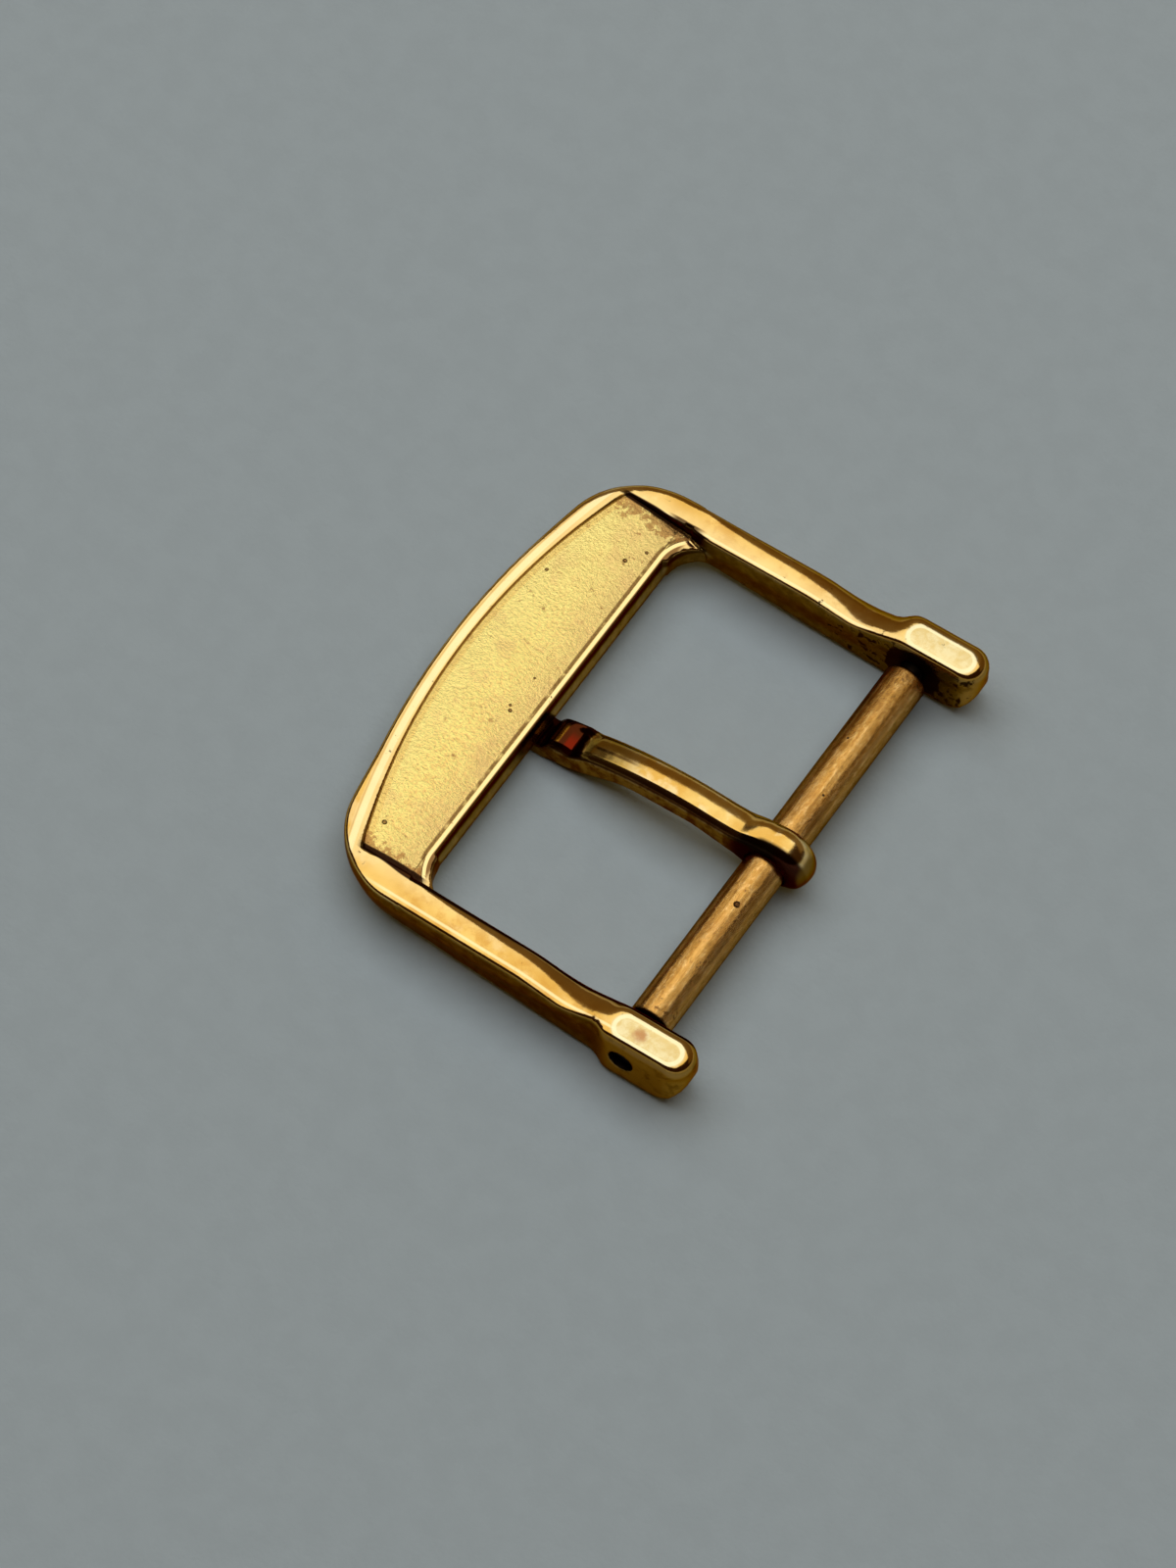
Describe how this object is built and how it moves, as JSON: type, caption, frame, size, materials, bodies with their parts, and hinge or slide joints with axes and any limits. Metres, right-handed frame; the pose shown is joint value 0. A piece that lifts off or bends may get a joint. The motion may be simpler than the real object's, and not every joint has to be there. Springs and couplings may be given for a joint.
{
  "type": "watch buckle",
  "caption": "Tang buckle for a 16 mm watch strap: bow-fronted frame with round-ended lugs, curved tongue and a sprung cross bar that lifts out.",
  "frame": {"origin": "middle of the bar's axis, halfway between the two lugs", "axes": "+X from the plate towards the bar and the strap's fixed end, +Y along the bar, +Z out of the buckle's back, so the polished front faces down as it lies in the picture"},
  "size_m": [0.0159, 0.0194, 0.0026],
  "materials": {
    "gold_frame": "polished gold-tone plating on steel, satin on the sunk panel",
    "gold_tongue": "polished gold-tone plating on steel",
    "rose_tube": "rose-tone plating, brushed along its length",
    "spring_steel": "drawn wire",
    "pin_steel": "turned"
  },
  "bodies": {
    "frame": {"buckle_frame": "gold_frame"},
    "bar": {"bar_tube": "rose_tube", "bar_spring": "spring_steel"},
    "tongue": {"tongue": "gold_tongue"},
    "near_pin": {"near_pin": "pin_steel"},
    "far_pin": {"far_pin": "pin_steel"}
  },
  "joints": [
    {"name": "tongue_swing", "type": "hinge", "parent": "frame", "child": "bar", "pos_m": [0, 0, 0], "axis": [0, 1, 0], "range_deg": [-345, 0]},
    {"name": "tongue_shift", "type": "slide", "parent": "bar", "child": "tongue", "axis": [0, 1, 0], "range_m": [-0.0066, 0.0074]},
    {"name": "near_pin_press", "type": "slide", "parent": "bar", "child": "near_pin", "axis": [0, 1, 0], "range_m": [0, 0.0014], "stiffness_N_per_m": 500, "deforming": ["bar_spring"]},
    {"name": "far_pin_press", "type": "slide", "parent": "bar", "child": "far_pin", "axis": [0, -1, 0], "range_m": [0, 0.0014], "stiffness_N_per_m": 500, "deforming": ["bar_spring"]}
  ]
}
